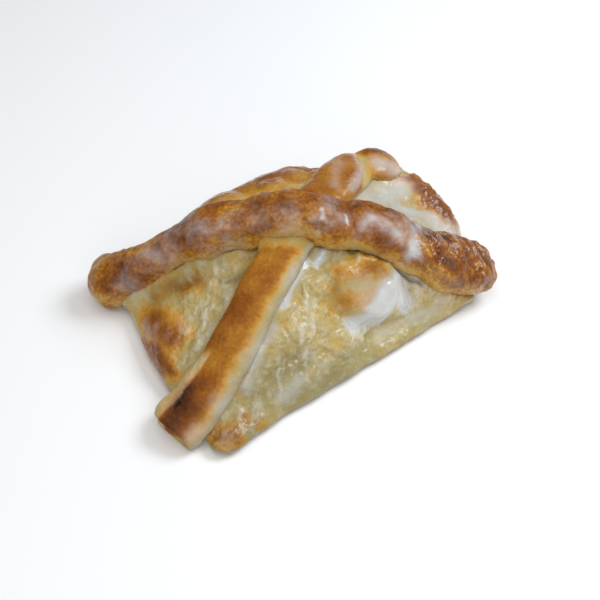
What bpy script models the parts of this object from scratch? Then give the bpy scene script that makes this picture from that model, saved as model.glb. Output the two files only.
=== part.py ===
"""An apple roll: a baked pastry parcel with two strips of dough laid crosswise over it.

Metres, +Z up. The origin is on the flat underside, near the middle of the parcel. X runs along
the parcel's length and Y across it, with the low, gently sloping long side at -Y.
"""

import math
from typing import NamedTuple

import bmesh
import bpy
import numpy as np
from mathutils import Vector, noise
from mathutils.bvhtree import BVHTree

MM = 0.001

# The parcel's plan: a rounded rectangle, its ends leaning with the skew.
PARCEL_LENGTH = 114.5 * MM
PARCEL_WIDTH = 76.5 * MM
PARCEL_CENTRE = (6 * MM, 2.8 * MM)
PARCEL_SKEW = 0.16  # how far an end leans along X for each metre across
PLAN_ROUNDING = 9  # superellipse exponents: higher is squarer
EDGE_ROUNDING = 2.8

# The parcel's height: highest along the far side, low at the near side and the left end.
PARCEL_HEIGHT = 29.5 * MM
NEAR_SHARE = 0.20  # height at the near side, as a share of the full one
NEAR_SLOPE_LENGTH = 36 * MM
LEFT_SHARE = 0.40
LEFT_SLOPE_LENGTH = 58 * MM
RIGHT_SHARE = 0.74
RIGHT_SLOPE_LENGTH = 40 * MM
WIDEST_LEVEL = 3.2 * MM  # below this the sides tuck in to the flat underside
UNDERSIDE_PRESS = 1.35  # how much the underside's curve is flattened on the tray
PARCEL_CUTS = 20

# Corners drawn out or in: (x, y, reach along X, reach along Y, spread).
CORNERS = (
    (-56 * MM, -35 * MM, -1.5 * MM, -4.5 * MM, 11 * MM),
    (69 * MM, 41 * MM, -6.5 * MM, -5.0 * MM, 16 * MM),
    (-51 * MM, 5 * MM, -2.0 * MM, 0 * MM, 13 * MM),
)

# Rises and hollows of the parcel's top: (x, y, height, length along X, length along Y).
SWELLINGS = (
    (10 * MM, -17 * MM, 2.5 * MM, 11 * MM, 7 * MM),  # apple pushing up under the near side
    (-9 * MM, -26 * MM, 1.6 * MM, 12 * MM, 7 * MM),
    (38 * MM, -26 * MM, 1.2 * MM, 9 * MM, 6 * MM),
    (25 * MM, -8 * MM, 3.0 * MM, 12 * MM, 9 * MM),
    (-11 * MM, 26 * MM, 4.2 * MM, 20 * MM, 14 * MM),  # the highest place
    (-45 * MM, 10 * MM, 1.6 * MM, 6 * MM, 10 * MM),  # browned left end
    (-49 * MM, -33 * MM, 2.2 * MM, 8 * MM, 6 * MM),  # near corner
    (62 * MM, -1 * MM, 6.8 * MM, 5 * MM, 15 * MM),  # lip of the right end
    (44 * MM, 1 * MM, -2.4 * MM, 8 * MM, 8 * MM),  # hollow where glaze gathers
    (46 * MM, 35 * MM, -7.0 * MM, 18 * MM, 13 * MM),  # low far corner
    (0 * MM, 39 * MM, 3.5 * MM, 16 * MM, 8 * MM),  # full far side
)
CREASE_DEPTH = 2.0 * MM  # how far a strip presses into the parcel
CREASE_WIDTH = 8 * MM
# Unevenness of the surface: (height, scale).
PARCEL_BUMPS = ((1.0 * MM, 15 * MM), (0.6 * MM, 7 * MM))

STRIP_STATIONS = 46
SECTION_POINTS = 16
STRIP_ROUNDING = 2.4  # the section's superellipse exponent
STEEPEST_DRAPE = 0.8  # a strip runs down no more steeply than this
DRAPE_SMOOTHING = 4 * MM
CLEARANCE = 0.3 * MM  # gap between pieces that touch
NOISE_STEP = Vector((13.7, 5.1, 29.3))  # each turn of it is another part of the noise
PARCEL_NOISE = 1


class Strip(NamedTuple):
    """A strip of dough. Its puffs are (share of its length, change in size, length)."""

    name: str
    route: tuple  # seen from above, end to end
    width: float
    thickness: float
    sink: float  # how far it lies into what carries it
    puffs: tuple
    end_lengths: tuple  # over these lengths its two ends are rounded off
    end_shares: tuple  # size of the very ends
    bumps: tuple  # unevenness of the surface: (height, scale)
    noise: int


UNDER_STRIP = Strip(
    name="under_strip",
    route=(
        (-63 * MM, -19.5 * MM),
        (-43.8 * MM, -16.4 * MM),
        (-18.4 * MM, -6.4 * MM),
        (7 * MM, 6 * MM),
        (34 * MM, 17.2 * MM),
        (46 * MM, 19.8 * MM),
        (57.5 * MM, 17.5 * MM),
    ),
    width=16.5 * MM,
    thickness=9 * MM,
    sink=1.0 * MM,
    puffs=(
        (0.04, 0.20, 12 * MM),
        (0.38, -0.06, 14 * MM),
        (0.80, 0.05, 8 * MM),
        (0.89, -0.20, 4 * MM),
    ),
    end_lengths=(3 * MM, 8 * MM),
    end_shares=(0.6, 0.15),
    bumps=((0.7 * MM, 12 * MM), (0.4 * MM, 6 * MM)),
    noise=2,
)
OVER_STRIP = Strip(
    name="over_strip",
    route=(
        (-50 * MM, 45 * MM),
        (-38.5 * MM, 34.5 * MM),
        (-22 * MM, 25 * MM),
        (-4 * MM, 13.5 * MM),
        (11 * MM, 0 * MM),
        (27 * MM, -11.5 * MM),
        (40.5 * MM, -23 * MM),
        (57.5 * MM, -32.5 * MM),
    ),
    width=16 * MM,
    thickness=14.5 * MM,
    sink=1.5 * MM,
    puffs=(
        (0.04, 0.10, 8 * MM),
        (0.17, -0.22, 12 * MM),
        (0.29, 0.07, 10 * MM),
        (0.92, 0.14, 16 * MM),
    ),
    end_lengths=(8 * MM, 8 * MM),
    end_shares=(0.12, 0.12),
    bumps=((0.9 * MM, 12 * MM), (0.5 * MM, 6 * MM)),
    noise=3,
)


def clear_scene():
    for old in list(bpy.data.objects):
        bpy.data.objects.remove(old)


def collection_named(name):
    made = bpy.data.collections.new(name)
    bpy.context.scene.collection.children.link(made)
    return made


def material_named(name, color, roughness):
    made = bpy.data.materials.new(name)
    made.use_nodes = True
    shader = made.node_tree.nodes["Principled BSDF"]
    shader.inputs["Base Color"].default_value = (*color, 1)
    shader.inputs["Roughness"].default_value = roughness
    shader.inputs["Metallic"].default_value = 0
    return made


def smooth_route(points):
    """Points evenly spaced along a Catmull-Rom curve through the given ones."""
    given = np.array(points)
    before_first = 2 * given[0] - given[1]
    after_last = 2 * given[-1] - given[-2]
    knots = np.vstack([before_first, given, after_last])
    t = np.linspace(0, 1, 24)[:, None]
    spans = []
    for before, start, end, after in zip(knots, knots[1:], knots[2:], knots[3:]):
        bend = (2 * before - 5 * start + 4 * end - after) * t**2
        twist = (3 * start - before - 3 * end + after) * t**3
        spans.append((2 * start + (end - before) * t + bend + twist) / 2)
    fine = np.vstack(spans)
    along = np.r_[0, np.cumsum(np.linalg.norm(np.diff(fine, axis=0), axis=1))]
    wanted = np.linspace(0, along[-1], STRIP_STATIONS)
    return np.c_[np.interp(wanted, along, fine[:, 0]), np.interp(wanted, along, fine[:, 1])]


def distance_to_route(x, y, route):
    return float(np.min(np.hypot(route[:, 0] - x, route[:, 1] - y)))


def rising_share(distance, length, lowest):
    """A share that rises from lowest to 1 over the length, steep at first and then flat."""
    t = min(1, max(0, distance / length))
    return lowest + (1 - lowest) * math.sin(math.pi / 2 * t)


def parcel_height(x, y):
    """The height of the parcel's top before its edges are rounded off."""
    near_edge = PARCEL_CENTRE[1] - PARCEL_WIDTH / 2
    left_end = PARCEL_CENTRE[0] - PARCEL_LENGTH / 2
    right_end = PARCEL_CENTRE[0] + PARCEL_LENGTH / 2
    across = rising_share(y - near_edge, NEAR_SLOPE_LENGTH, NEAR_SHARE)
    from_left = rising_share(x - left_end, LEFT_SLOPE_LENGTH, LEFT_SHARE)
    from_right = rising_share(right_end - x, RIGHT_SLOPE_LENGTH, RIGHT_SHARE)
    return PARCEL_HEIGHT * across * from_left * from_right


def relief(x, y, routes):
    """Swellings, hollows and the creases that the strips press in."""
    rise = 0
    for at_x, at_y, height, long, wide in SWELLINGS:
        rise += height * math.exp(-(((x - at_x) / long) ** 2) - ((y - at_y) / wide) ** 2)
    for route in routes:
        rise -= CREASE_DEPTH * math.exp(-((distance_to_route(x, y, route) / CREASE_WIDTH) ** 2))
    return rise


def unevenness(point, bumps, turn):
    """The height of smooth bumps of each size at a place, the same on every run."""
    place = Vector(point)
    return sum(height * noise.noise(place / scale + turn * NOISE_STEP) for height, scale in bumps)


def with_corners_drawn(x, y):
    """Moves a place near a corner outwards or inwards."""
    moved_x, moved_y = x, y
    for at_x, at_y, reach_x, reach_y, spread in CORNERS:
        share = math.exp(-((math.hypot(x - at_x, y - at_y) / spread) ** 2))
        moved_x += reach_x * share
        moved_y += reach_y * share
    return moved_x, moved_y


def parcel_point(corner, routes):
    """Where a point of the cube from -1 to 1 lies on the parcel."""
    x, y, z = corner
    plan = (abs(x) ** PLAN_ROUNDING + abs(y) ** PLAN_ROUNDING) ** (EDGE_ROUNDING / PLAN_ROUNDING)
    scale = (plan + abs(z) ** EDGE_ROUNDING) ** (-1 / EDGE_ROUNDING)
    x, y, z = x * scale, y * scale, z * scale
    at_y = PARCEL_CENTRE[1] + y * PARCEL_WIDTH / 2
    at_x = PARCEL_CENTRE[0] + x * PARCEL_LENGTH / 2
    height = parcel_height(at_x, at_y)
    leaning_x = at_x + PARCEL_SKEW * (at_y - PARCEL_CENTRE[1])
    leaning_x, at_y = with_corners_drawn(leaning_x, at_y)
    if z < 0:
        return Vector((leaning_x, at_y, max(0, WIDEST_LEVEL * (1 + z * UNDERSIDE_PRESS))))
    at_z = WIDEST_LEVEL + (height - WIDEST_LEVEL) * z
    rise = relief(leaning_x, at_y, routes)
    rise += unevenness((leaning_x, at_y, at_z), PARCEL_BUMPS, PARCEL_NOISE)
    return Vector((leaning_x, at_y, at_z + rise * z**0.5))


def add_parcel(collection, material, routes):
    """The filled parcel: a finely cut cube whose points move onto the parcel's surface."""
    bpy.ops.mesh.primitive_cube_add(size=2)
    parcel = bpy.context.object
    parcel.name = "parcel"
    mesh = bmesh.new()
    mesh.from_mesh(parcel.data)
    bmesh.ops.subdivide_edges(mesh, edges=mesh.edges, cuts=PARCEL_CUTS, use_grid_fill=True)
    for vertex in mesh.verts:
        spread = Vector([math.tan(c * math.pi / 4) for c in vertex.co])
        vertex.co = parcel_point(spread, routes)
    mesh.to_mesh(parcel.data)
    mesh.free()
    for old in list(parcel.users_collection):
        old.objects.unlink(parcel)
    finish_piece(parcel, collection, material)
    return parcel


def finish_piece(piece, collection, material):
    collection.objects.link(piece)
    piece.data.materials.clear()
    piece.data.materials.append(material)
    piece.data.shade_smooth()


def surface_heights(route, carriers):
    """The height of whatever carries a strip at each point of its route, the tray being 0."""
    graph = bpy.context.evaluated_depsgraph_get()
    trees = [BVHTree.FromObject(carrier, graph) for carrier in carriers]
    heights = []
    for x, y in route:
        hits = [tree.ray_cast(Vector((x, y, 1)), Vector((0, 0, -1)))[0] for tree in trees]
        heights.append(max([hit.z for hit in hits if hit], default=0))
    return np.array(heights)


def draped(heights, step):
    """Heights with no drop steeper than dough takes, smoothed along the route."""
    places = np.arange(len(heights)) * step
    apart = np.abs(places[:, None] - places)
    heights = np.max(heights - STEEPEST_DRAPE * apart, axis=1)
    reach = int(3 * DRAPE_SMOOTHING / step)
    weights = np.exp(-((np.arange(-reach, reach + 1) * step / DRAPE_SMOOTHING) ** 2))
    padded = np.pad(heights, reach, mode="edge")
    return np.convolve(padded, weights / weights.sum(), mode="valid")


def section_curve(strip, helpers):
    """The strip's section, a superellipse, as a closed flat curve."""
    curve = bpy.data.curves.new(strip.name + "_section", "CURVE")
    curve.dimensions = "2D"
    spline = curve.splines.new("POLY")
    spline.points.add(SECTION_POINTS - 1)
    spline.use_cyclic_u = True
    for i, point in enumerate(spline.points):
        angle = 2 * math.pi * i / SECTION_POINTS
        c, s = math.cos(angle), math.sin(angle)
        across = math.copysign(abs(c) ** (2 / STRIP_ROUNDING), c) * strip.width / 2
        up = math.copysign(abs(s) ** (2 / STRIP_ROUNDING), s) * strip.thickness / 2
        point.co = (across, up, 0, 1)
    section = bpy.data.objects.new(curve.name, curve)
    section.hide_render = True
    helpers.objects.link(section)
    return section


def strip_size(strip, along, length):
    """The share of its full section that a strip has at this distance along it."""
    size = 1
    for from_end, rounded, least in zip((along, length - along), strip.end_lengths, strip.end_shares):
        t = min(1, least + (1 - least) * from_end / rounded)
        size *= math.sqrt(1 - (1 - t) ** 2)
    for share, change, spread in strip.puffs:
        size += change * math.exp(-(((along - share * length) / spread) ** 2))
    return size


def add_strip(strip, route, carriers, collection, helpers, material):
    """A strip of dough: its section swept along the draped route, with rounded ends."""
    step = np.linalg.norm(route[1] - route[0])
    middle = draped(surface_heights(route, carriers), step) + strip.thickness / 2 - strip.sink
    curve = bpy.data.curves.new(strip.name + "_line", "CURVE")
    curve.dimensions = "3D"
    curve.twist_mode = "Z_UP"
    curve.bevel_mode = "OBJECT"
    curve.bevel_object = section_curve(strip, helpers)
    curve.use_fill_caps = True
    spline = curve.splines.new("POLY")
    spline.points.add(len(route) - 1)
    for i, point in enumerate(spline.points):
        point.co = (*route[i], middle[i], 1)
        point.radius = strip_size(strip, i * step, (len(route) - 1) * step)
    line = bpy.data.objects.new(curve.name, curve)
    helpers.objects.link(line)
    graph = bpy.context.evaluated_depsgraph_get()
    mesh = bpy.data.meshes.new_from_object(line.evaluated_get(graph))
    piece = bpy.data.objects.new(strip.name, mesh)
    piece.matrix_world = line.matrix_world
    bpy.data.objects.remove(line)
    shape_strip(strip, piece.data)
    finish_piece(piece, collection, material)
    return piece


def shape_strip(strip, data):
    """Welds the caps, makes the surface uneven and flattens what lies on the tray."""
    mesh = bmesh.new()
    mesh.from_mesh(data)
    bmesh.ops.remove_doubles(mesh, verts=mesh.verts, dist=0.001 * MM)
    bmesh.ops.recalc_face_normals(mesh, faces=mesh.faces)
    mesh.normal_update()
    normals = [vertex.normal.copy() for vertex in mesh.verts]
    for vertex, normal in zip(mesh.verts, normals):
        vertex.co += normal * unevenness(vertex.co, strip.bumps, strip.noise)
        vertex.co.z = max(0, vertex.co.z)
    mesh.to_mesh(data)
    mesh.free()


def cut_clear(piece, carrier, helpers):
    """Cuts the piece where it lies into its carrier, and leaves the clearance between them."""
    cutter = carrier.copy()
    cutter.data = carrier.data.copy()
    cutter.name = carrier.name + "_clear_of_" + piece.name
    helpers.objects.link(cutter)
    cutter.hide_render = True
    cutter.display_type = "WIRE"
    swell = cutter.modifiers.new("swell", "DISPLACE")
    swell.strength = CLEARANCE
    swell.mid_level = 0
    cut = piece.modifiers.new("clear of " + carrier.name, "BOOLEAN")
    cut.operation = "DIFFERENCE"
    cut.object = cutter


def main():
    clear_scene()
    pieces = collection_named("apple_roll")
    helpers = collection_named("helpers")
    pale = material_named("pale_dough", (0.62, 0.47, 0.22), 0.45)
    browned = material_named("browned_dough", (0.40, 0.17, 0.05), 0.40)
    under_route = smooth_route(UNDER_STRIP.route)
    over_route = smooth_route(OVER_STRIP.route)
    parcel = add_parcel(pieces, pale, (under_route, over_route))
    under = add_strip(UNDER_STRIP, under_route, [parcel], pieces, helpers, browned)
    over = add_strip(OVER_STRIP, over_route, [parcel, under], pieces, helpers, browned)
    cut_clear(under, parcel, helpers)
    cut_clear(over, parcel, helpers)
    cut_clear(over, under, helpers)


main()
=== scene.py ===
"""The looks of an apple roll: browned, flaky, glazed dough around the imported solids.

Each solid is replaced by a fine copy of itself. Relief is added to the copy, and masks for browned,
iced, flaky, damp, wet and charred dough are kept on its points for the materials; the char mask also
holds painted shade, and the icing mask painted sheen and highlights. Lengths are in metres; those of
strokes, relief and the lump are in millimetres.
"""

import math

import bmesh
import bpy
import numpy as np
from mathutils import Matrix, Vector, noise


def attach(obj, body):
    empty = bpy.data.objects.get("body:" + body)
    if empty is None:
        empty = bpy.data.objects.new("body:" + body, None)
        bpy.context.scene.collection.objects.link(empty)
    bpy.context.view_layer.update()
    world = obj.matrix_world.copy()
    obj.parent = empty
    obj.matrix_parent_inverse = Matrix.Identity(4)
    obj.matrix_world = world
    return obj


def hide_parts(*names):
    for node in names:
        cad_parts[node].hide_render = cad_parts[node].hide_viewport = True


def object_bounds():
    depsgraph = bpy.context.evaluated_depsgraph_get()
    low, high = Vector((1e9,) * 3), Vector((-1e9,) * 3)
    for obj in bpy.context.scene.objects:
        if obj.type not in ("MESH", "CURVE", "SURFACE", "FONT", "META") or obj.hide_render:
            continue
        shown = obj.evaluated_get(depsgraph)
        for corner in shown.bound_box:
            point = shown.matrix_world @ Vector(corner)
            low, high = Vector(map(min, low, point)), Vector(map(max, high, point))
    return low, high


MM = 0.001
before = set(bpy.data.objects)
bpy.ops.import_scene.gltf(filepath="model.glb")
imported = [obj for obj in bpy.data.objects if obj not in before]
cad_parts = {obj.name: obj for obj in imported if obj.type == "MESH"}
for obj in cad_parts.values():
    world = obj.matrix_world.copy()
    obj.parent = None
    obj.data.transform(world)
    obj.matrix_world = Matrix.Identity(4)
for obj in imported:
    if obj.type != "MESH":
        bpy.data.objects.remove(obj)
cad_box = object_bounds()

# The camera: it looks at TARGET from this direction and distance.
TARGET = Vector((-5 * MM, -10 * MM, 18 * MM))
CAMERA_ELEVATION = math.radians(50)
CAMERA_AZIMUTH = math.radians(-37)
CAMERA_DISTANCE = 0.5
CAMERA_LENS = 92.4
CAMERA_SENSOR = 36
CAMERA_CLIP_START = 0.01

# The studio. A light has a name, a place, a size, its watts and a colour.
LIGHTS = (
    ("window", (0.31, -0.10, 0.42), 0.26, 2.0, (0.88, 0.94, 1.0)),
    ("ceiling", (-0.14, -0.05, 0.68), 0.6, 2.3, (1.0, 0.98, 0.95)),
    ("front", (-0.30, -0.42, 0.32), 0.45, 0.95, (1.0, 0.98, 0.95)),
)
WORLD_COLOR = (0.93, 0.96, 1.0)
WORLD_STRENGTH = 0.25
FLOOR_SIZE = 6
FLOOR_DROP = 0.1 * MM  # how far it lies below the roll
FLOOR_COLOR = (0.86, 0.86, 0.86)
FLOOR_ROUGHNESS = 0.8

# The strips' routes seen from above, end to end, as the solids have them.
UNDER_ROUTE = (
    (-63 * MM, -19.5 * MM),
    (-43.8 * MM, -16.4 * MM),
    (-18.4 * MM, -6.4 * MM),
    (7 * MM, 6 * MM),
    (34 * MM, 17.2 * MM),
    (46 * MM, 19.8 * MM),
    (57.5 * MM, 17.5 * MM),
)
OVER_ROUTE = (
    (-50 * MM, 45 * MM),
    (-38.5 * MM, 34.5 * MM),
    (-22 * MM, 25 * MM),
    (-4 * MM, 13.5 * MM),
    (11 * MM, 0 * MM),
    (27 * MM, -11.5 * MM),
    (40.5 * MM, -23 * MM),
    (57.5 * MM, -32.5 * MM),
)
PLACES_ALONG = 240  # along a route, where points are looked up on it
FILLET_PLACES = 120
MIDDLE_REACH = 6  # places on both sides that the strip's middle height is averaged over

PARCEL_VOXEL = 0.53 * MM
STRIP_VOXEL = 0.38 * MM
FACET_SMOOTHING = 40  # rounds that melt the solids' facets
BOX_MARGIN = 0.05 * MM  # what the pieces keep clear of the solids' box
RELIEF_FROM = (0.2 * MM, 2.5 * MM)  # heights from which relief starts and is full
ICING_THICKNESS = 0.5 * MM
THICK_ICING = 0.6  # icing is a piece of its own where its mask is above this
FULL_ICING = 0.95  # and has its full thickness where it is above this
SUNK_EDGE = 0.15  # the share of its thickness by which its edge is sunk
TURN_SHIFT = (13.7, 5.1, 29.3)  # what one turn shifts a noise by, in its own cells

# From unbaked to burnt.
BAKED_STOPS = (
    (0.00, (0.40, 0.335, 0.165)),
    (0.25, (0.47, 0.325, 0.092)),
    (0.38, (0.51, 0.260, 0.038)),
    (0.50, (0.37, 0.152, 0.014)),
    (0.65, (0.25, 0.078, 0.007)),
    (0.85, (0.12, 0.034, 0.007)),
    (1.00, (0.045, 0.015, 0.005)),
)
ICING_COLOR = (0.555, 0.57, 0.58)
CREAMY_ICING_COLOR = (0.53, 0.51, 0.47)
FLAKE_COLOR = (0.66, 0.62, 0.50)
MILKY_COLOR = (0.50, 0.475, 0.35)
DAMP_COLOR = (0.31, 0.262, 0.108)  # dough that icing has soaked
# Near black: burnt dough, and painted shade where a little of it is mixed in.
CHAR_AND_SHADE_COLOR = (0.020, 0.011, 0.007)
PALE_BROWNING = (0.20, 0.40)  # dough counts as pale below these, and as browned above
ICING_COVER = 0.92  # what the whitest veil of icing hides
FLAKE_COVER = 0.85

# Noise on the dough's colour: the size of its spots.
MOTTLE_SIZE = 6 * MM
SPECKLE_SIZE = 1.2 * MM
SOAKED_SIZE = 5 * MM
CLOUD_SIZE = 4.5 * MM
VEIL_SIZE = 4 * MM
# How strong each of these is in a dough, how much light it scatters inside and how much it shines.
PALE_DOUGH = dict(mottle=0.22, speckle=0.26, damp=0.72, milky=0.50, subsurface=0.25, shine=0.22)
BROWNED_DOUGH = dict(mottle=0.58, speckle=0.62, damp=0.0, milky=0.0, subsurface=0.10, shine=0.14)
BROWNED_FLAT_DOUGH = dict(mottle=0.24, speckle=0.26, damp=0.5, milky=0.3, subsurface=0.10, shine=0.14)
BARE_ROUGHNESS = 0.48
ICED_ROUGHNESS = 0.20
WET_SMOOTHING = 0.2
GRAIN_DEPTH = 0.35 * MM
WET_COAT = 0.75

# A stroke is a line on the surface: from (x, y, z) to (x, y, z) in mm, radius in mm, strength.
PARCEL_BROWN = (
    ((-45, 17, 10), (-45, 8, 12), 7, 0.56),  # left end
    ((-49.5, 9, 7), (-50.5, -1, 7), 4, 0.66),
    ((-50, 15, 5), (-52, 2, 5), 5, 0.58),
    ((-44, 8, 12), (-41, 3, 14), 3.5, 0.25),
    ((8, -14, 25), (19, -16.5, 24), 4.2, 0.36),  # on the lump
    ((5, -20, 21), (14, -22.5, 18.5), 6.0, 0.24),
    ((54, 13, 21), (59.5, 6, 18), 3.6, 0.55),  # rim of the right end
    ((56.5, 3, 18), (59, -9, 14.5), 4.8, 0.60),
    ((62, 6, 13), (62, -14, 11), 4, 0.45),
    ((59, -14, 13), (56, -26, 9), 4, 0.40),
    ((-30, 38, 14), (5, 38, 22), 12, 0.45),  # far side
    ((5, 38, 22), (34, 34, 20), 12, 0.47),
    ((34, 36, 14), (58, 32, 9), 12, 0.40),
    ((-53, -30, 6), (-48, -33, 5), 5, 0.42),  # near corner
    ((-46, -31, 6), (-38, -34, 5), 4.5, 0.24),
    ((40, -27, 9), (34, -28, 10), 4, 0.16),  # right end of the near side
    # painted shade: this browning stands for the shade under the upper strip
    ((-39, 22, 15), (-29, 15, 20), 4, 0.32),  # beside the upper strip
)
# Painted shade: dough made duller and darker than its browning alone makes it, where shade falls under
# and beside the strips and along the low near edge and corner, and a little on the lump, the far side
# and the right hollow.
PARCEL_PAINTED_SHADE = (
    ((-40, 23, 15), (-29, 15.5, 21), 3.6, 0.54),
    ((-22, 7.5, 24.5), (-13, 2, 27.5), 2.4, 0.42),
    ((-54, -31, 5), (-41, -32, 6), 7, 0.36),
    ((-18, -26, 12), (-36, -27, 8), 6, 0.26),
    ((-28, -32, 5), (-8, -33, 5), 4.5, 0.22),
    ((6, -6, 27), (20, -14, 24), 2.6, 0.20),
    ((8, -16, 24), (18, -19, 22), 5, 0.20),
    ((-30, 38, 14), (32, 36, 20), 10, 0.12),
    ((-20, -17, 18), (-37, -25, 10), 3.5, 0.16),
    ((36, 5, 25), (52, -6, 17), 7, 0.10),
)
PARCEL_ICING_AND_HIGHLIGHTS = (
    ((36, 5, 25), (51, 8, 20), 7.5, 0.55),  # hollow at the right end
    ((44, 0, 21), (56, -15, 12), 5.8, 0.58),
    ((45, -1, 20), (55, -15, 12), 4.0, 0.72),
    ((24.2, -21.5, 18), (23.7, -26.5, 12.5), 4.6, 1.0),  # on the lump
    ((19.5, -23, 17.5), (12.5, -26, 14.5), 5.2, 1.0),
    ((12, -26.5, 14), (5, -26, 14), 3.4, 0.85),
    ((12, -21, 20), (17, -24, 17), 7, 0.40),
    # a veil of icing, partly painted light that brightens the right front
    ((30, -24, 15), (46, -30, 9), 5, 0.40),  # right of the lump
    ((-46.8, 20, 8), (-48, 14, 8), 3.2, 0.34),  # over the left end's brown
    ((-44.7, 14, 11.3), (-49.5, 8.5, 8.5), 2.2, 0.28),
    ((1.3, -5, 27.7), (-13.7, -11.4, 23), 1.8, 0.78),  # beside the lower strip
    ((-20, -15.5, 20), (-30.7, -19.6, 13.7), 2.6, 0.50),
    ((-29, -19.5, 15), (-37, -23.6, 10.3), 3.2, 0.48),
    # partly a painted glint: white where the glaze glints
    ((4, -7, 28), (9, -6, 28), 1.8, 0.78),
    ((-20, -30, 8), (-29, -31, 6), 3.2, 0.44),  # along the near edge
    ((-12, -30, 9), (-4, -30, 9), 3.5, 0.24),
    # a veil of icing, partly a painted highlight along the lower edge
    ((12, -31, 8), (38, -32, 6), 4.5, 0.36),
    ((-27, 36, 26), (-12, 39, 24), 4, 0.34),  # over the far side
)
# Seams cut in and darkened. Those over the lump follow the upper strip's lower edge, and their dark is
# painted shade in that crease; those at the left end are charred cracks.
PARCEL_SEAMS = (
    ((25, -18.3, 20), (32, -25.2, 13.6), 0.8, 0.9),  # over the lump
    ((8.7, -2.5, 27), (11, -5.5, 27.7), 1.1, 0.8),
    ((18, -12.9, 26), (21.5, -15, 24), 1.0, 0.8),
    ((-45.5, 0.5, 12), (-42, 4.5, 13), 0.8, 0.45),  # at the left end
    ((-46.2, -4, 11), (-41, 0.5, 13.5), 0.7, 0.45),
)
PARCEL_FLAKES = (
    ((1.5, -14, 25), (-3.6, -19.3, 20.8), 2.8, 1.0),
    ((-3.6, -19.3, 20.8), (-8.8, -25, 15), 2.0, 1.0),
    ((-4.4, -13.5, 25), (-5, -17.5, 22), 2.4, 0.8),
    ((2, -28, 12), (9, -28.5, 10.5), 2.6, 0.9),
    ((-12, -23, 16), (-18, -28, 10), 4.0, 0.7),
    ((-24, -24, 12), (-28, -28, 8), 3.0, 0.7),
    ((-46, -30, 6.5), (-36, -30, 6.5), 4.5, 0.5),
    ((-27, 9, 21.5), (-24, 14, 22), 3.0, 0.9),
    ((-40, 1, 14), (-28, 4, 20), 6.0, 0.7),
    ((30, -26, 14), (44, -30, 7), 5.0, 0.6),
)
FIBRES = (-0.55, -0.60, -0.58)  # the way the near side's flaky fibres run
PARCEL_DAMP = (
    # The first stroke makes the dough darker and more olive along the low near edge.
    ((-52, -33, 4), (4, -34, 5), 7, 1.0),
    ((-18, -26, 12), (-32, -27, 9), 5, 0.9),
    ((4, -10, 27), (8, -16, 24), 5, 0.5),
    ((12, -33, 6), (30, -33, 5), 5, 0.4),
)
LUMP_CENTRE = (14.5, -20.5)
LUMP_LENGTH = 14
LUMP_WIDTH = 8.5
LUMP_TURN = math.radians(-24)
LUMP_HEIGHT = 3.4

OVER_BROWN = (
    ((-51, 43, 13), (-42, 38, 20), 7, -0.12),
    ((-46, 34, 17), (-43, 31, 18), 3, 0.16),
    ((14, 0, 44), (31, -11, 38), 5, 0.08),
    ((44, -26, 27), (57, -31, 20), 7, 0.22),
    ((46, -31, 17), (57, -36, 11), 7, 0.30),
    ((18, -14, 38), (24, -19, 33), 3, 0.10),
    ((33, -22, 30), (38, -27, 24), 4, -0.10),
)
# Runs and streaks of icing, and whitish patches of painted sheen where the glaze shows broad soft
# reflections.
OVER_ICING_AND_SHEEN = (
    ((21, -12, 40), (29, -19, 34), 4.4, 0.48),
    ((38.5, -15, 33), (33, -20, 32), 5.4, 0.54),
    ((33, -20, 32), (30.5, -23.5, 28), 4.4, 0.58),
    ((9, -2, 45), (8, -6, 43), 1.4, 0.80),
    ((16, -7.5, 41), (14.5, -11, 39.5), 1.3, 0.72),
    ((-37, 33, 23), (-32, 25, 25), 4.4, 0.42),
    ((-34, 27, 24), (-30, 22, 24), 3.4, 0.34),
    ((-24, 22, 36), (-14, 14, 41), 5, 0.36),
    ((-4, 9, 45), (4, 3, 45), 5, 0.20),
    ((7, -3, 43), (15, -9, 41), 5, 0.34),
    ((31, -13, 36), (44, -24, 28), 4, 0.24),
    ((52, -29, 22), (58, -33, 18), 4, 0.20),
)
OVER_SPECKS = (
    ((53.5, -33.8, 17.2), (54.3, -33.2, 17.9), 0.8, 0.8),
    ((49.8, -34.9, 17.4), (50.6, -34.5, 17.8), 0.6, 0.7),
)
UNDER_BROWN = (
    ((-56.5, -19.5, 12), (-50, -17.5, 15), 4.0, 0.28),
    ((-60, -23, 8), (-53, -21, 13), 6, 0.30),
    ((-36, -11, 22), (-20, -4, 29), 5, 0.08),
    ((31, 12, 34), (35, 14, 34), 3, 0.10),
    ((48, 24, 27), (56, 22.5, 23), 2.4, 0.34),
    ((46, 16, 28), (54, 14, 25), 5.0, -0.14),
)
UNDER_ICING_AND_HIGHLIGHT = (
    ((44, 22, 30), (38, 12, 33), 3.2, 0.40),
    ((37.5, 12, 33), (30.5, 7.5, 33), 2.6, 0.44),
    ((33, 20, 33), (26, 12, 33), 4, 0.34),
    ((49, 17, 27), (54, 12, 23), 5.0, 0.48),
    # painted highlight: the rosy gleam along the lower strip's near edge, as a veil of icing
    ((3, -4, 32), (-16, -12, 27), 2.4, 0.48),
    ((-24, -14, 22), (-40, -21, 15), 3.0, 0.50),
)
# Strokes that cut in.
UNDER_CREASE = ((47, 24, 28), (38, 9, 31), 2.0, 1.0)
BURNT_CRACK = ((-52.5, -14, 14), (-63.5, -17.5, 7), 0.8, 1.0)
FOLD_LINE = ((14, 0.3, 44.5), (31, -10, 38), 0.7, 1.0)  # along the upper strip
BURNT_AROUND = (*BURNT_CRACK[:2], 3.2, 0.30)  # the brown about the crack
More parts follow.
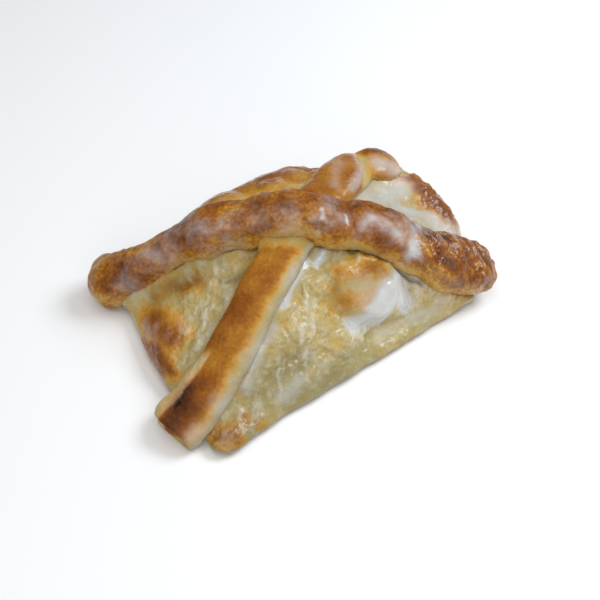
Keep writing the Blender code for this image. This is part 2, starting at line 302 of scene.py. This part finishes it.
# Strokes that raise the surface: their strength is a height.
FAT_END = ((48, -27, 24), (55, -30, 20), 7, 1.5)  # the upper strip near its right end
FAT_START = ((-49, 43, 13), (-42, 40, 19), 7, 2.6)  # and at its left end
DRIP = ((-27, -19, 16), (-36.5, -23.5, 10.5), 1.8, 1.6)
RIM = ((58, 6, 17), (61, -13, 12), 6, 2.4)
FAR_SIDE = ((-16, 38, 20), (24, 37, 15), 8, 3.9)
# Dough swells against a strip that lies on it.
OVER_FILLET = 3.0
UNDER_FILLET = 1.8
FILLET_WIDTH = 2.6 * MM
STRIP_REACH = 6.3 * MM  # from a strip's route to where it meets what carries it

# The parcel's relief.
BULGE_HEIGHT = 2.0
BULGE_SIZE = 10 * MM  # one piece of apple
VALLEY_DEPTH = 0.35
BULGES_FROM_HEIGHT = (3 * MM, 11 * MM)
BULGES_FROM_LEFT = (-28 * MM, -16 * MM)
UNEVEN_HEIGHT = 0.5
CREASE_HEIGHT = 0.9
FINE_CREASE_HEIGHT = 0.5
FEWER_CREASES_FROM = (12 * MM, 24 * MM)  # towards the far side
FLAKE_HEIGHT = 0.60
SEAM_DEPTH = 1.3
# The parcel's browning.
PARCEL_BASE_BROWN = 0.12
CREASE_BROWN = 0.17
UNDERSIDE_BELOW = 1.2 * MM
UNDERSIDE_BROWN = 0.55

# The upper strip. Shares count from its left end.
OVER_SIDE_BROWN = 0.35
OVER_TOP_BROWN = 0.31  # what its top has more than its sides
OVER_MOST_BROWN = 0.70
WRINKLED_FROM = (0.77, 0.84)
WRINKLE_HEIGHT = 1.0
# A patchy whitish haze over the upper strip: thin icing and painted sheen.
SHEEN_HAZE = 0.19
HAZE_TO = (0.76, 0.84)
LEFT_HAZE = 0.07
LEFT_HAZE_FROM = (0.08, 0.16)
LEFT_HAZE_TO = (0.20, 0.40)
GLOSSY_TO = (0.08, 0.16)
CRACKED_FROM = (0.02, 0.05)
CRACKED_TO = (0.09, 0.14)
CRACK_DEPTH = 0.3
FOLD_DEPTH = 0.8

# The lower strip. Shares count from its left end.
UNDER_SIDE_BROWN = 0.16
UNDER_TOP_BROWN = 0.385
NEAR_SIDE_FROM = (3.4 * MM, 8.0 * MM)  # across the strip
NEAR_SIDE_TO = (0.5, 0.6)
NEAR_SIDE_ICING = 0.40
SOFT_BORDER = 3.2 * MM  # the near side's paleness fades over this at the left end
SOFT_BORDER_TO = (0.1, 0.5)
FAR_EDGE_FROM = (3.4 * MM, 5.0 * MM)
FAR_EDGE_TO = (0.16, 0.20)
UNEVEN_END_TO = (0.04, 0.14)
SMOOTH_FROM = (0.55, 0.65)
WET_FROM = (0.6, 0.7)
BURNT_CRACK_DEPTH = 1.0
CREASE_DEPTH = 1.5


def smooth_route(points, count):
    """Points evenly spaced along a Catmull-Rom curve through the given ones."""
    given = np.array(points)
    knots = np.vstack([2 * given[0] - given[1], given, 2 * given[-1] - given[-2]])
    t = np.linspace(0, 1, 24)[:, None]
    spans = []
    for before, start, end, after in zip(knots, knots[1:], knots[2:], knots[3:]):
        bend = (2 * before - 5 * start + 4 * end - after) * t**2
        twist = (3 * start - before - 3 * end + after) * t**3
        spans.append((2 * start + (end - before) * t + bend + twist) / 2)
    fine = np.vstack(spans)
    along = np.r_[0, np.cumsum(np.linalg.norm(np.diff(fine, axis=0), axis=1))]
    wanted = np.linspace(0, along[-1], count)
    return np.c_[np.interp(wanted, along, fine[:, 0]), np.interp(wanted, along, fine[:, 1])], along[-1]


def fine_copy(node, name, voxel):
    """A new object with a fine, even mesh of a node's shape, its facets melted away."""
    piece = bpy.data.objects.new(name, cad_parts[node].data.copy())
    bpy.context.scene.collection.objects.link(piece)
    remesh = piece.modifiers.new("remesh", "REMESH")
    remesh.mode = "VOXEL"
    remesh.voxel_size = voxel
    melt = piece.modifiers.new("melt", "SMOOTH")
    melt.factor = 0.5
    melt.iterations = FACET_SMOOTHING
    graph = bpy.context.evaluated_depsgraph_get()
    mesh = bpy.data.meshes.new_from_object(piece.evaluated_get(graph))
    piece.modifiers.clear()
    piece.data = mesh
    piece.data.shade_smooth()
    return piece


def points_of(piece):
    points = np.empty(len(piece.data.vertices) * 3)
    piece.data.vertices.foreach_get("co", points)
    return points.reshape(-1, 3)


def normals_of(piece):
    normals = np.empty(len(piece.data.vertices) * 3)
    piece.data.vertices.foreach_get("normal", normals)
    return normals.reshape(-1, 3)


def turned(points, scale, turn):
    """The points in cells of this scale, shifted so that each turn gives a noise of its own."""
    return points / scale + turn * np.array(TURN_SHIFT)


def lumps(points, scale, turn):
    """Smooth noise between about -1 and 1, the same on every run."""
    return np.array([noise.noise(p) for p in turned(points, scale, turn)])


def flecks(points, scale, turn):
    """Noise with fine detail, between about -1 and 1."""
    return (
        lumps(points, scale, turn)
        + 0.55 * lumps(points, scale / 2.1, turn + 1)
        + 0.35 * lumps(points, scale / 4.3, turn + 2)
    )


def crumple(points, scale, turn):
    """Crumpled noise from 0 to about 1: folds of one size with smaller ones on them."""
    folds = np.abs(lumps(points, scale, turn)) + 0.5 * np.abs(lumps(points, scale / 2, turn + 1))
    return 1 - 1.3 * (folds + 0.3 * np.abs(lumps(points, scale / 4, turn + 2)))


def drawn_out(points, direction, share):
    """The points squeezed along a direction, so that noise on them is drawn out along it."""
    unit = np.array(direction) / np.linalg.norm(direction)
    return points - (1 - share) * (points @ unit)[:, None] * unit


def cells(points, scale, turn):
    """Soft cells: how domed each one is, from 0 to 1, and how near the seam between two."""
    nearest = np.array([noise.voronoi(p)[0][:2] for p in turned(points, scale, turn)])
    dome = np.clip(1 - 1.6 * nearest[:, 0] ** 2, 0, 1)
    seam = np.exp(-(((nearest[:, 1] - nearest[:, 0]) / 0.25) ** 2))
    return dome, seam


def warped(points, reach, scale, turn):
    """The points moved about, so that what is drawn on them gets uneven borders."""
    moves = [lumps(points, scale, turn + i) for i in range(3)]
    return points + reach * np.stack(moves, axis=1)


def stroke(points, line):
    """How much a stroke covers each point: its strength on its line, fading to 0 beyond its radius."""
    start, end, radius, strength = line
    start, end = np.array(start) * MM, np.array(end) * MM
    run = end - start
    t = np.clip((points - start) @ run / (run @ run), 0, 1)
    away = np.linalg.norm(points - start - t[:, None] * run, axis=1) / (radius * MM)
    return strength * np.exp(-(away**2))


def strokes(points, lines):
    """The strongest of several strokes at each point; those that take away count in full."""
    covers = np.array([stroke(points, line) for line in lines])
    return np.maximum(covers, 0).max(axis=0) + np.minimum(covers, 0).sum(axis=0)


def step(values, low, high):
    """0 below low, 1 above high, smooth between."""
    t = np.clip((values - low) / (high - low), 0, 1)
    return t * t * (3 - 2 * t)


def fade(values, low, high):
    """1 below low, 0 above high, smooth between."""
    return step(-values, -high, -low)


def keep_masks(piece, masks):
    for name, values in masks.items():
        mask = piece.data.attributes.new(name, "FLOAT", "POINT")
        mask.data.foreach_set("value", np.clip(values, 0, 1).astype(np.float32))


def raise_surface(piece, points, normals, relief):
    """Moves the points along their normals, but not the underside, and none out of the solids' box."""
    heights = relief * step(points[:, 2], *RELIEF_FROM) * MM
    moved = points + normals * heights[:, None]
    low = np.array(cad_box[0]) + BOX_MARGIN
    high = np.array(cad_box[1]) - BOX_MARGIN
    low[2] = cad_box[0][2]
    moved = np.clip(moved, low, high)
    piece.data.vertices.foreach_set("co", moved.ravel())
    piece.data.update()


def strip_places(points, route):
    """Each point's place on a strip: share of its length, way along it, side offset and height.

    The height counts from the middle of the strip at that place.
    """
    line, length = smooth_route(route, PLACES_ALONG)
    apart = np.linalg.norm(points[:, None, :2] - line[None], axis=2)
    nearest = np.argmin(apart, axis=1)
    ahead = np.gradient(line, axis=0)
    ahead /= np.linalg.norm(ahead, axis=1)[:, None]
    heading = ahead[nearest]
    offset = points[:, :2] - line[nearest]
    lateral = heading[:, 0] * offset[:, 1] - heading[:, 1] * offset[:, 0]

    count = np.maximum(1, np.bincount(nearest, minlength=len(line)))
    middle = np.bincount(nearest, weights=points[:, 2], minlength=len(line)) / count
    window = np.ones(2 * MIDDLE_REACH + 1)
    padded = np.pad(middle, MIDDLE_REACH, mode="edge")
    middle = np.convolve(padded, window / len(window), mode="valid")
    share = nearest / (len(line) - 1)
    return share, share * length, lateral, points[:, 2] - middle[nearest]


def fillet(points, route, height):
    """How far dough swells up beside a strip."""
    line, _ = smooth_route(route, FILLET_PLACES)
    apart = np.min(np.linalg.norm(points[:, None, :2] - line[None], axis=2), axis=1)
    return height * np.exp(-(((apart - STRIP_REACH) / FILLET_WIDTH) ** 2))


def facing_up(normals):
    return step(normals[:, 2], 0.2, 0.6)


def nodes_of(material):
    return material.node_tree.nodes, material.node_tree.links


def add_math(material, operation, first, second):
    """A Math node; first and second are sockets or numbers."""
    nodes, links = nodes_of(material)
    made = nodes.new("ShaderNodeMath")
    made.operation = operation
    for socket, value in zip(made.inputs, (first, second)):
        if isinstance(value, (int, float)):
            socket.default_value = value
        else:
            links.new(value, socket)
    return made.outputs[0]


def add_noise(material, scale, detail, roughness=0.5):
    """Noise around 0.5 in the piece's own place; scale is in metres."""
    nodes, links = nodes_of(material)
    place = nodes.new("ShaderNodeTexCoord").outputs["Object"]
    made = nodes.new("ShaderNodeTexNoise")
    made.inputs["Scale"].default_value = 1 / scale
    made.inputs["Detail"].default_value = detail
    made.inputs["Roughness"].default_value = roughness
    links.new(place, made.inputs["Vector"])
    return made.outputs["Fac"]


def add_centred_noise(material, scale, detail, height):
    """Noise around 0 of about this height."""
    centred = add_math(material, "SUBTRACT", add_noise(material, scale, detail), 0.5)
    return add_math(material, "MULTIPLY", centred, height)


def add_mask(material, name):
    nodes, _ = nodes_of(material)
    made = nodes.new("ShaderNodeAttribute")
    made.attribute_name = name
    return made.outputs["Fac"]


def add_varied_mask(material, name, scale, detail, height):
    """A mask with noise of about this height on it."""
    varied = add_centred_noise(material, scale, detail, height)
    return add_math(material, "ADD", add_mask(material, name), varied)


def add_scaled_mask(material, name, factor):
    return add_math(material, "MULTIPLY", add_mask(material, name), factor)


def add_ramp(material, value, stops):
    nodes, links = nodes_of(material)
    made = nodes.new("ShaderNodeValToRGB")
    ramp = made.color_ramp
    ramp.interpolation = "LINEAR"
    while len(ramp.elements) < len(stops):
        ramp.elements.new(1)
    for element, (place, color) in zip(ramp.elements, stops):
        element.position = place
        element.color = (*color, 1)
    links.new(value, made.inputs["Fac"])
    return made.outputs["Color"]


def add_mix(material, share, first, second):
    """Mixes two colours; each is a socket or a colour."""
    nodes, links = nodes_of(material)
    made = nodes.new("ShaderNodeMix")
    made.data_type = "RGBA"
    links.new(share, made.inputs["Factor"])
    for name, value in (("A", first), ("B", second)):
        socket = next(s for s in made.inputs if s.name == name and s.type == "RGBA")
        if isinstance(value, tuple):
            socket.default_value = (*value, 1)
        else:
            links.new(value, socket)
    return next(s for s in made.outputs if s.type == "RGBA")


def add_range(material, value, low, high, to_low=0.0, to_high=1.0):
    """Maps low to high onto another range, smooth at both ends."""
    nodes, links = nodes_of(material)
    made = nodes.new("ShaderNodeMapRange")
    made.interpolation_type = "SMOOTHSTEP"
    ends = {"From Min": low, "From Max": high, "To Min": to_low, "To Max": to_high}
    for name, number in ends.items():
        made.inputs[name].default_value = number
    links.new(value, made.inputs["Value"])
    return made.outputs["Result"]


def add_icing_share(material):
    """How much of the dough a veil of icing hides; it also paints the sheen and highlights that the
    icing mask holds.
    """
    veil = add_varied_mask(material, "icing", VEIL_SIZE, 3, 0.22)
    return add_range(material, veil, 0.10, 0.80, 0.0, ICING_COVER)


def dough_color(material, mottle, speckle, damp, milky):
    """Baked dough's colour: browning, soaked dough, clouds, flakes, icing with painted sheen, and char
    with painted shade.
    """
    browning = add_varied_mask(material, "browning", MOTTLE_SIZE, 4, mottle)
    speckles = add_centred_noise(material, SPECKLE_SIZE, 7, speckle)
    color = add_ramp(material, add_math(material, "ADD", browning, speckles), BAKED_STOPS)

    pale = add_range(material, add_mask(material, "browning"), *PALE_BROWNING, 1.0, 0.0)
    soaked = add_varied_mask(material, "damp", SOAKED_SIZE, 5, 1.4)
    soaked = add_range(material, soaked, 0.05, 0.75, 0.0, damp)
    color = add_mix(material, add_math(material, "MULTIPLY", pale, soaked), color, DAMP_COLOR)
    clouds = add_noise(material, CLOUD_SIZE, 6, 0.62)
    clouds = add_range(material, clouds, 0.48, 0.66, 0.0, milky)
    color = add_mix(material, add_math(material, "MULTIPLY", pale, clouds), color, MILKY_COLOR)

    color = add_mix(material, add_scaled_mask(material, "flaky", FLAKE_COVER), color, FLAKE_COLOR)
    color = add_mix(material, add_icing_share(material), color, ICING_COLOR)
    return add_mix(material, add_mask(material, "char_and_shade"), color, CHAR_AND_SHADE_COLOR)


def dough_roughness(material, icing):
    """Rough where bare, smoother where iced or wet."""
    roughness = add_range(material, icing, 0.0, 0.9, BARE_ROUGHNESS, ICED_ROUGHNESS)
    smoothing = add_scaled_mask(material, "wet", WET_SMOOTHING)
    roughness = add_math(material, "SUBTRACT", roughness, smoothing)
    return add_math(material, "ADD", roughness, add_centred_noise(material, 1.4 * MM, 4, 0.30))


def add_grain(material, icing):
    """The normal of fine grain, which icing fills."""
    nodes, links = nodes_of(material)
    bump = nodes.new("ShaderNodeBump")
    bump.inputs["Strength"].default_value = 0.8
    bump.inputs["Distance"].default_value = GRAIN_DEPTH
    fine, coarse = add_noise(material, 0.8 * MM, 6), add_noise(material, 2.2 * MM, 4)
    grain = add_math(material, "ADD", fine, coarse)
    bare = add_math(material, "SUBTRACT", 1, icing)
    links.new(add_math(material, "MULTIPLY", grain, bare), bump.inputs["Height"])
    return bump.outputs["Normal"]


def dough_material(name, mottle, speckle, damp, milky, subsurface, shine):
    """Baked dough: dull and grainy where bare, smooth where icing lies, glossy where wet."""
    material = bpy.data.materials.new(name)
    material.use_nodes = True
    nodes, links = nodes_of(material)
    shader = nodes["Principled BSDF"]
    icing = add_icing_share(material)
    links.new(dough_color(material, mottle, speckle, damp, milky), shader.inputs["Base Color"])
    links.new(dough_roughness(material, icing), shader.inputs["Roughness"])
    links.new(add_grain(material, icing), shader.inputs["Normal"])
    shader.inputs["Specular IOR Level"].default_value = shine
    shader.inputs["Subsurface Weight"].default_value = subsurface
    shader.inputs["Subsurface Radius"].default_value = (1.0, 0.55, 0.25)
    shader.inputs["Subsurface Scale"].default_value = 1.2 * MM
    links.new(add_scaled_mask(material, "wet", WET_COAT), shader.inputs["Coat Weight"])
    shader.inputs["Coat Roughness"].default_value = 0.14
    shader.inputs["Coat IOR"].default_value = 1.4
    return material


def icing_material():
    """Thick icing: white and creamy by turns, glossy."""
    material = bpy.data.materials.new("icing")
    material.use_nodes = True
    nodes, links = nodes_of(material)
    shader = nodes["Principled BSDF"]
    creamy = add_range(material, add_noise(material, 3 * MM, 4), 0.3, 0.7)
    color = add_mix(material, creamy, ICING_COLOR, CREAMY_ICING_COLOR)
    links.new(color, shader.inputs["Base Color"])
    roughness = add_math(material, "ADD", 0.16, add_centred_noise(material, 3 * MM, 3, 0.15))
    links.new(roughness, shader.inputs["Roughness"])
    shader.inputs["Subsurface Weight"].default_value = 0.4
    shader.inputs["Subsurface Radius"].default_value = (1.0, 0.8, 0.6)
    shader.inputs["Subsurface Scale"].default_value = 1.5 * MM
    shader.inputs["Coat Weight"].default_value = 0.4
    shader.inputs["Coat Roughness"].default_value = 0.08
    return material


def add_icing(doughs, material):
    """Thick icing: the iced part of each piece again, raised in the middle and sunk at its edge."""
    whole = bmesh.new()
    for dough in doughs:
        mesh = bmesh.new()
        mesh.from_mesh(dough.data)
        mesh.normal_update()
        layer = mesh.verts.layers.float["icing"]
        bare = [v for v in mesh.verts if v[layer] < THICK_ICING]
        bmesh.ops.delete(mesh, geom=bare, context="VERTS")
        for vertex in mesh.verts:
            depth = step(vertex[layer], THICK_ICING, FULL_ICING) - SUNK_EDGE
            vertex.co += vertex.normal * ICING_THICKNESS * float(depth)
        part = bpy.data.meshes.new("icing_part")
        mesh.to_mesh(part)
        mesh.free()
        whole.from_mesh(part)
        bpy.data.meshes.remove(part)
    data = bpy.data.meshes.new("icing")
    whole.to_mesh(data)
    whole.free()
    icing = bpy.data.objects.new("icing", data)
    bpy.context.scene.collection.objects.link(icing)
    data.materials.clear()
    data.materials.append(material)
    data.shade_smooth()
    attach(icing, "root")


def lump_height(points):
    """The lump of apple that pushes the near side up, with a slight dip around it."""
    x, y = points[:, 0] / MM - LUMP_CENTRE[0], points[:, 1] / MM - LUMP_CENTRE[1]
    along = (x * math.cos(LUMP_TURN) + y * math.sin(LUMP_TURN)) / LUMP_LENGTH
    across = (y * math.cos(LUMP_TURN) - x * math.sin(LUMP_TURN)) / LUMP_WIDTH
    out = np.hypot(along, across)
    dip = 0.4 * np.exp(-(((out - 1.15) / 0.15) ** 2))
    return LUMP_HEIGHT * fade(out, 0.6, 1.1) - dip


def parcel_relief(points, normals, calm, flakes, creased, fine_creased):
    """The parcel's relief without its seams: calm where it is smooth, from 0 to 1."""
    dome, valley = cells(warped(points, 2.5 * MM, 9 * MM, turn=26), BULGE_SIZE, turn=5)
    rim, far_side = stroke(points, RIM), stroke(points, FAR_SIDE)
    filled = step(points[:, 2], *BULGES_FROM_HEIGHT)
    filled *= 0.35 + 0.65 * step(points[:, 0], *BULGES_FROM_LEFT)
    filled *= 1 - 0.22 * far_side
    relief = (BULGE_HEIGHT * (dome - 0.5) - VALLEY_DEPTH * valley) * filled * (1 - 0.35 * rim)
    relief += UNEVEN_HEIGHT * lumps(points, 8 * MM, turn=1)
    crumpled = CREASE_HEIGHT * creased + FINE_CREASE_HEIGHT * fine_creased
    crumpled *= 1 - 0.5 * step(points[:, 1], *FEWER_CREASES_FROM)
    relief += crumpled * (0.4 + 0.6 * filled)
    relief += FLAKE_HEIGHT * flakes
    relief *= 1 - 0.85 * calm
    relief += lump_height(points) + rim + far_side + stroke(points, DRIP)
    beside_over = fillet(points, OVER_ROUTE, OVER_FILLET)
    beside_under = fillet(points, UNDER_ROUTE, UNDER_FILLET)
    return relief + facing_up(normals) * np.maximum(beside_over, beside_under)


def dress_parcel(material):
    """The parcel: apple bulges, flaky dough, browned ends, icing in the hollows."""
    piece = fine_copy("parcel", "parcel_dough", PARCEL_VOXEL)
    points, normals = points_of(piece), normals_of(piece)
    drawn = warped(points, 2.0 * MM, 6 * MM, turn=20)
    icing_drawn = warped(warped(points, 1.4 * MM, 7 * MM, turn=35), 0.4 * MM, 2.4 * MM, turn=38)
    icing = strokes(icing_drawn, PARCEL_ICING_AND_HIGHLIGHTS)
    calm = np.maximum(step(icing, 0.15, 0.5), 0.75 * step(lump_height(points), 0.8, 2.8))
    fibres = drawn_out(warped(points, 1.5 * MM, 6 * MM, turn=71), FIBRES, 0.28)
    fibre = step(flecks(fibres, 2.4 * MM, turn=72), -0.05, 0.55)
    flaky = strokes(drawn, PARCEL_FLAKES)
    seams = strokes(warped(points, 0.8 * MM, 3 * MM, turn=31), PARCEL_SEAMS)
    creased = crumple(points, 5.5 * MM, turn=73) - 0.5
    fine_creased = crumple(points, 2.3 * MM, turn=3) - 0.5

    brown = PARCEL_BASE_BROWN + 0.10 * lumps(points, 11 * MM, turn=23) + strokes(drawn, PARCEL_BROWN)
    bare = fade(brown, 0.25, 0.45)
    # Browner in the creases' hollows and paler on their ridges; the ridges are whitened in the flaky
    # mask as well.
    brown -= CREASE_BROWN * bare * (creased + 0.6 * fine_creased)
    brown = np.where(points[:, 2] < UNDERSIDE_BELOW, UNDERSIDE_BROWN, brown)
    wet = np.maximum(step(brown, 0.45, 0.7), 0.9 * step(lumps(points, 5 * MM, turn=74), -0.3, 0.2))

    flakes = flaky * (fibre - 0.4)
    relief = parcel_relief(points, normals, calm, flakes, creased, fine_creased)
    raise_surface(piece, points, normals, relief - SEAM_DEPTH * seams)
    keep_masks(piece, {
        "browning": brown,
        "icing": icing,
        "flaky": flaky * fibre + 0.5 * bare * step(creased + fine_creased, 0.3, 0.8),
        "damp": strokes(drawn, PARCEL_DAMP),
        "wet": wet,
        # The char mask holds the seams' dark and the painted shade.
        "char_and_shade": np.maximum(0.65 * seams, strokes(drawn, PARCEL_PAINTED_SHADE)),
    })
    finish_piece(piece, "parcel", material)
    return piece


def over_strip_icing_and_sheen(points, share):
    """Runs and streaks of icing with patches of painted sheen, and a patchy haze of thin icing and
    painted sheen, but for the wrinkled end.
    """
    drawn = warped(warped(points, 2.2 * MM, 7 * MM, turn=51), 0.8 * MM, 2.5 * MM, turn=54)
    runs_and_sheen = strokes(drawn, OVER_ICING_AND_SHEEN) * (0.95 + 0.5 * lumps(points, 3.5 * MM, turn=57))
    sheen_haze = SHEEN_HAZE * (1 + flecks(points, 8 * MM, turn=58)) * fade(share, *HAZE_TO)
    sheen_haze += LEFT_HAZE * fade(share, *LEFT_HAZE_TO) * step(share, *LEFT_HAZE_FROM)
    return np.maximum(runs_and_sheen, sheen_haze)


def dress_over_strip(material):
    """The round strip on top: brown, ridged and glossy at its right end, cracked at its left."""
    piece = fine_copy("over_strip", "over_strip_dough", STRIP_VOXEL)
    points, normals = points_of(piece), normals_of(piece)
    share, along, lateral, height = strip_places(points, OVER_ROUTE)
    drawn = warped(points, 1.8 * MM, 5 * MM, turn=40)
    icing = over_strip_icing_and_sheen(points, share)
    fold = stroke(warped(points, 1.0 * MM, 5 * MM, turn=43), FOLD_LINE)
    _, cell_seams = cells(warped(points, 1.5 * MM, 4 * MM, turn=50), 5 * MM, turn=48)
    cracks = cell_seams * fade(share, *CRACKED_TO) * step(share, *CRACKED_FROM)
    right_end = step(share, *WRINKLED_FROM)
    skewed = np.stack([along + 0.5 * lateral, 0.45 * lateral, 0.45 * height], axis=1)
    wrinkles = crumple(warped(skewed, 1.6 * MM, 5 * MM, turn=44), 4.0 * MM, turn=49) - 0.45
    wrinkles *= right_end * step(height, -7 * MM, 0)

    uneven = 1.8 * MM * lumps(points, 7 * MM, turn=42)
    top = step(height + 0.55 * lateral + uneven, -8.5 * MM, 2.5 * MM)
    patches = (0.08 + 0.11 * top) * lumps(points, 8 * MM, turn=41)
    brown = OVER_SIDE_BROWN + OVER_TOP_BROWN * top + patches + strokes(drawn, OVER_BROWN)
    brown = np.minimum(brown, OVER_MOST_BROWN) + 0.10 * (fold + cracks) - 0.30 * wrinkles

    relief = 1.0 * lumps(points, 8 * MM, turn=45) + 0.30 * lumps(points, 2.6 * MM, turn=46)
    relief += 0.25 * (crumple(points, 3 * MM, turn=47) - 0.5)
    relief *= 1 - 0.5 * step(icing, 0.2, 0.6)
    relief += WRINKLE_HEIGHT * wrinkles - FOLD_DEPTH * fold - CRACK_DEPTH * cracks
    relief += stroke(points, FAT_END) + stroke(points, FAT_START)
    raise_surface(piece, points, normals, relief)
    keep_masks(piece, {
        "browning": brown,
        "icing": icing,
        "wet": np.maximum(right_end, 0.3 * fade(share, *GLOSSY_TO)),
        "char_and_shade": strokes(points, OVER_SPECKS),
    })
    finish_piece(piece, "over_strip", material)
    return piece


def near_side_of(points, share, lateral):
    """The lower strip's pale near side, from 0 to 1; its border is softest at the left end."""
    fading = SOFT_BORDER * fade(share, *SOFT_BORDER_TO)
    across = -lateral + fading / 2 + 1.4 * MM * lumps(points, 6 * MM, turn=68)
    covered = step(across, NEAR_SIDE_FROM[0] - fading / 2, NEAR_SIDE_FROM[1] + fading)
    return covered * fade(share, *NEAR_SIDE_TO)


def dress_under_strip(material):
    """The flat strip below: orange-brown on top, pale and iced down its side, burnt at its end."""
    piece = fine_copy("under_strip", "under_strip_dough", STRIP_VOXEL)
    points, normals = points_of(piece), normals_of(piece)
    share, _, lateral, height = strip_places(points, UNDER_ROUTE)
    _, _, from_over, _ = strip_places(points, OVER_ROUTE)
    drawn = warped(points, 1.4 * MM, 5 * MM, turn=60)
    near_side = near_side_of(points, share, lateral)
    side_icing = NEAR_SIDE_ICING * near_side * (0.9 + 0.5 * lumps(points, 6 * MM, turn=67))
    icing = np.maximum(strokes(drawn, UNDER_ICING_AND_HIGHLIGHT), side_icing)
    crease = stroke(points, UNDER_CREASE)
    crack = step(stroke(warped(points, 1.4 * MM, 2.6 * MM, turn=63), BURNT_CRACK), 0.35, 0.75)
    far_edge = step(lateral, *FAR_EDGE_FROM) * fade(share, *FAR_EDGE_TO)

    uneven = 0.8 * MM * lumps(points, 5 * MM, turn=61)
    top = step(height + 0.35 * lateral + uneven, -5.4 * MM, -1.6 * MM) * (1 - 0.9 * near_side)
    joined = step(from_over, -12 * MM, -8 * MM) * fade(from_over, -2 * MM, 0)
    brown = UNDER_SIDE_BROWN + UNDER_TOP_BROWN * top * (1 - 0.8 * joined)
    brown += 0.12 * lumps(points, 7 * MM, turn=62) + strokes(drawn, UNDER_BROWN)
    brown += stroke(drawn, BURNT_AROUND) - 0.30 * far_edge - 0.35 * crease

    relief = (0.5 + 0.9 * fade(share, *UNEVEN_END_TO)) * lumps(points, 8 * MM, turn=64)
    relief += 0.16 * lumps(points, 2.2 * MM, turn=65)
    relief += (0.14 + 0.10 * far_edge) * (crumple(points, 2.2 * MM, turn=66) - 0.5)
    relief *= (1 - 0.7 * step(icing, 0.2, 0.5)) * (1 - 0.4 * step(share, *SMOOTH_FROM))
    relief -= BURNT_CRACK_DEPTH * crack + CREASE_DEPTH * crease
    relief += fillet(points, OVER_ROUTE, UNDER_FILLET) * facing_up(normals)
    raise_surface(piece, points, normals, relief)
    keep_masks(piece, {
        "browning": brown,
        "icing": icing,
        "flaky": 0.25 * far_edge,
        "damp": 0.6 * near_side,
        "wet": 0.6 * step(share, *WET_FROM),
        # The crack is charred; the near side gets a thin painted shade.
        "char_and_shade": np.maximum(0.85 * crack, 0.12 * near_side),
    })
    finish_piece(piece, "under_strip", material)
    return piece


def finish_piece(piece, node, material):
    piece.data.materials.clear()
    piece.data.materials.append(material)
    piece.data.shade_smooth()
    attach(piece, "root")
    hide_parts(node)


def add_camera():
    across = math.cos(CAMERA_ELEVATION)
    back = Vector((
        math.sin(CAMERA_AZIMUTH) * across,
        -math.cos(CAMERA_AZIMUTH) * across,
        math.sin(CAMERA_ELEVATION),
    ))
    data = bpy.data.cameras.new("camera")
    data.lens = CAMERA_LENS
    data.sensor_width = CAMERA_SENSOR
    data.clip_start = CAMERA_CLIP_START
    camera = bpy.data.objects.new("camera", data)
    bpy.context.scene.collection.objects.link(camera)
    camera.location = TARGET + back * CAMERA_DISTANCE
    camera.rotation_euler = back.to_track_quat("Z", "Y").to_euler()
    bpy.context.scene.camera = camera


def add_light(name, place, size, watts, color):
    """A square soft light that faces the roll."""
    data = bpy.data.lights.new(name, "AREA")
    data.size = size
    data.energy = watts
    data.color = color
    light = bpy.data.objects.new(name, data)
    bpy.context.scene.collection.objects.link(light)
    light.location = place
    light.rotation_euler = (Vector(place) - TARGET).to_track_quat("Z", "Y").to_euler()


def add_floor():
    bpy.ops.mesh.primitive_plane_add(size=FLOOR_SIZE)
    floor = bpy.context.object
    floor.name = "floor"
    floor.location.z = -FLOOR_DROP
    material = bpy.data.materials.new("floor")
    material.use_nodes = True
    shader = material.node_tree.nodes["Principled BSDF"]
    shader.inputs["Base Color"].default_value = (*FLOOR_COLOR, 1)
    shader.inputs["Roughness"].default_value = FLOOR_ROUGHNESS
    floor.data.materials.append(material)


def light_scene():
    world = bpy.data.worlds.new("studio")
    world.use_nodes = True
    backdrop = world.node_tree.nodes["Background"]
    backdrop.inputs["Color"].default_value = (*WORLD_COLOR, 1)
    backdrop.inputs["Strength"].default_value = WORLD_STRENGTH
    bpy.context.scene.world = world
    for light in LIGHTS:
        add_light(*light)
    bpy.context.scene.view_settings.view_transform = "Standard"


add_camera()
light_scene()
add_floor()
parcel = dress_parcel(dough_material("pale_dough", **PALE_DOUGH))
over_strip = dress_over_strip(dough_material("browned_dough", **BROWNED_DOUGH))
under_strip = dress_under_strip(dough_material("browned_flat_dough", **BROWNED_FLAT_DOUGH))
add_icing((parcel, over_strip, under_strip), icing_material())
